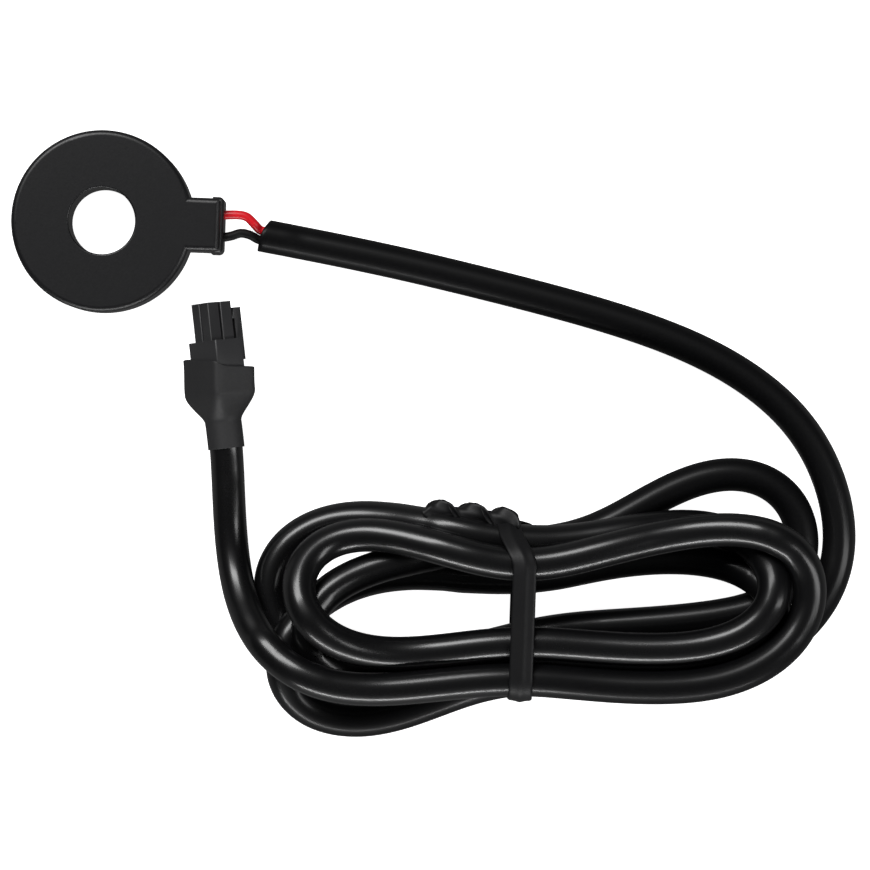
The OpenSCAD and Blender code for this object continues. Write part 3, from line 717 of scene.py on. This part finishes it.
for node in ("terminal_red", "terminal_black"):
    tin, tree, shader = material(node + "_tin", (0.6, 0.55, 0.45), 0.3)
    patches, grain = skinned(tree, patch_scale=1500, grain_scale=9000)
    feed(tree, mixed(tree, patches, (0.55, 0.47, 0.33), (0.7, 0.66, 0.58)), shader.inputs["Base Color"])
    feed(tree, between(tree, grain, 0.2, 0.38), shader.inputs["Roughness"])
    shader.inputs["Metallic"].default_value = 1
    dress(node, tin)

# The plug's own directions: ahead towards its mating face, and out of its two upper faces.
plug_roll = np.radians(38)
plug_end = frame["record"]["mounts"][2]
mating_face = np.array(plug_end["pos_m"])
plug_ahead = unit(np.array(plug_end["axis"]))
plug_left = unit(np.cross((0, 0, 1), plug_ahead))
plug_axes = np.array([
    plug_ahead,
    np.cos(plug_roll) * plug_left + np.sin(plug_roll) * np.array((0, 0, 1)),
    np.cos(plug_roll) * np.array((0, 0, 1)) - np.sin(plug_roll) * plug_left])


def on_plug(points):
    """Points given as (ahead, left face, raised face) from the mating face's middle."""
    return mating_face + np.asarray(points) @ plug_axes


jacket_end = -0.0206
plug_len = 0.0146
contact = 0.00127
wire_tip = -0.009
for colour, side in (("red", 1), ("black", -1)):
    core = side * (wire_d / 2 + lift)
    wire(colour + "_plug_wire", colour, on_plug([
        (jacket_end - 0.0006, core, 0), (jacket_end, core, 0), (jacket_end + 0.001, core, 0),
        (-plug_len - 0.001, side * contact, contact), (-plug_len, side * contact, contact),
        (wire_tip, side * contact, contact)]), "plug_wire_" + colour)

# ---- Boot ----
# Glued heat-shrink tube over the plug's rear and the cable's end. It was cut askew, has
# drawn tight over the corners of the housing, and necks down round onto the cable.

# Places along the plug are measured from its mating face, and less than nought behind it.
boot_mouth = -0.0101
boot_end = -0.0242
boot_wall = 0.0008
boot_halves = (0.00385, 0.005)
boot_up = 0.00005
shoulder = (-0.0148, -0.0198)
slump = 0.0004
slump_reach = 0.0035
looseness = 0.1
neck_r = cable_r + 0.00028
boot_sides = 120


def boot_points(x, inset):
    """Point of the boot at each x and each angle a: at the distance ((|cos a| / w)^n +
    (|sin a| / h)^n)^(-1/n) from its axis, which goes from nearly a rectangle (n = 9) at the
    mouth to a circle (n = 2) at the neck. Its right side hangs loose of the housing, and its
    middle sinks to the left. Also gives how far each point lies to the right."""
    t = np.clip((shoulder[0] - x) / (shoulder[0] - shoulder[1]), 0, 1)
    t = t * t * (3 - 2 * t)
    wide, high = (side - inset + (neck_r - side) * t for side in boot_halves)
    a = np.linspace(0, 2 * np.pi, boot_sides, endpoint=False)
    power = 9 - 7 * t
    r = ((np.abs(np.cos(a)) / wide)**power + (np.abs(np.sin(a)) / high)**power)**(-1 / power)
    left = -r * np.cos(a)
    up = boot_up * (1 - t) + r * np.sin(a)
    aside = np.sin(plug_roll) * up - np.cos(plug_roll) * left
    sunk = np.exp(-((x - shoulder[0]) / slump_reach)**2)
    loose = looseness * np.maximum(aside, 0) * (1 - t) - slump * sunk
    return np.stack([x, left - np.cos(plug_roll) * loose, up + np.sin(plug_roll) * loose], -1), aside


# The cut slopes across the boot and drops in a soft step at its loose side. The wall goes up
# the outside to the cut, over its rounded lip and back down the inside.
cut_ahead = 0.0003
cut_slope = 0.14
cut_step = 0.0007
step_place = 0.0008
step_reach = 0.0003
lip = 0.00012
lip_inset = 0.00025
aside = boot_points(np.full((1, boot_sides), boot_mouth), 0)[1]
step = cut_step / (1 + np.exp(-(aside - step_place) / step_reach))
cut = boot_mouth + cut_ahead - cut_slope * aside - step
depth = np.linspace(0, 1, 80)[:, None]
wall = [
    (boot_end + (cut - boot_end) * depth, 0), (cut + lip, lip_inset),
    (cut + lip, boot_wall - lip_inset), (cut + (boot_end - cut) * depth, boot_wall)]
rings = np.vstack([boot_points(x, inset)[0] for x, inset in wall])
boot = skin("shrink_boot", on_plug(rings.reshape(-1, 3)).reshape(rings.shape), closed=True)
boot.data.materials.append(plastic("shrink_tube", (0.009, 0.009, 0.0098), (0.015, 0.015, 0.016), (0.55, 0.7),
                                   (220, 1800), 0.00003))
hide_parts("plug_boot")
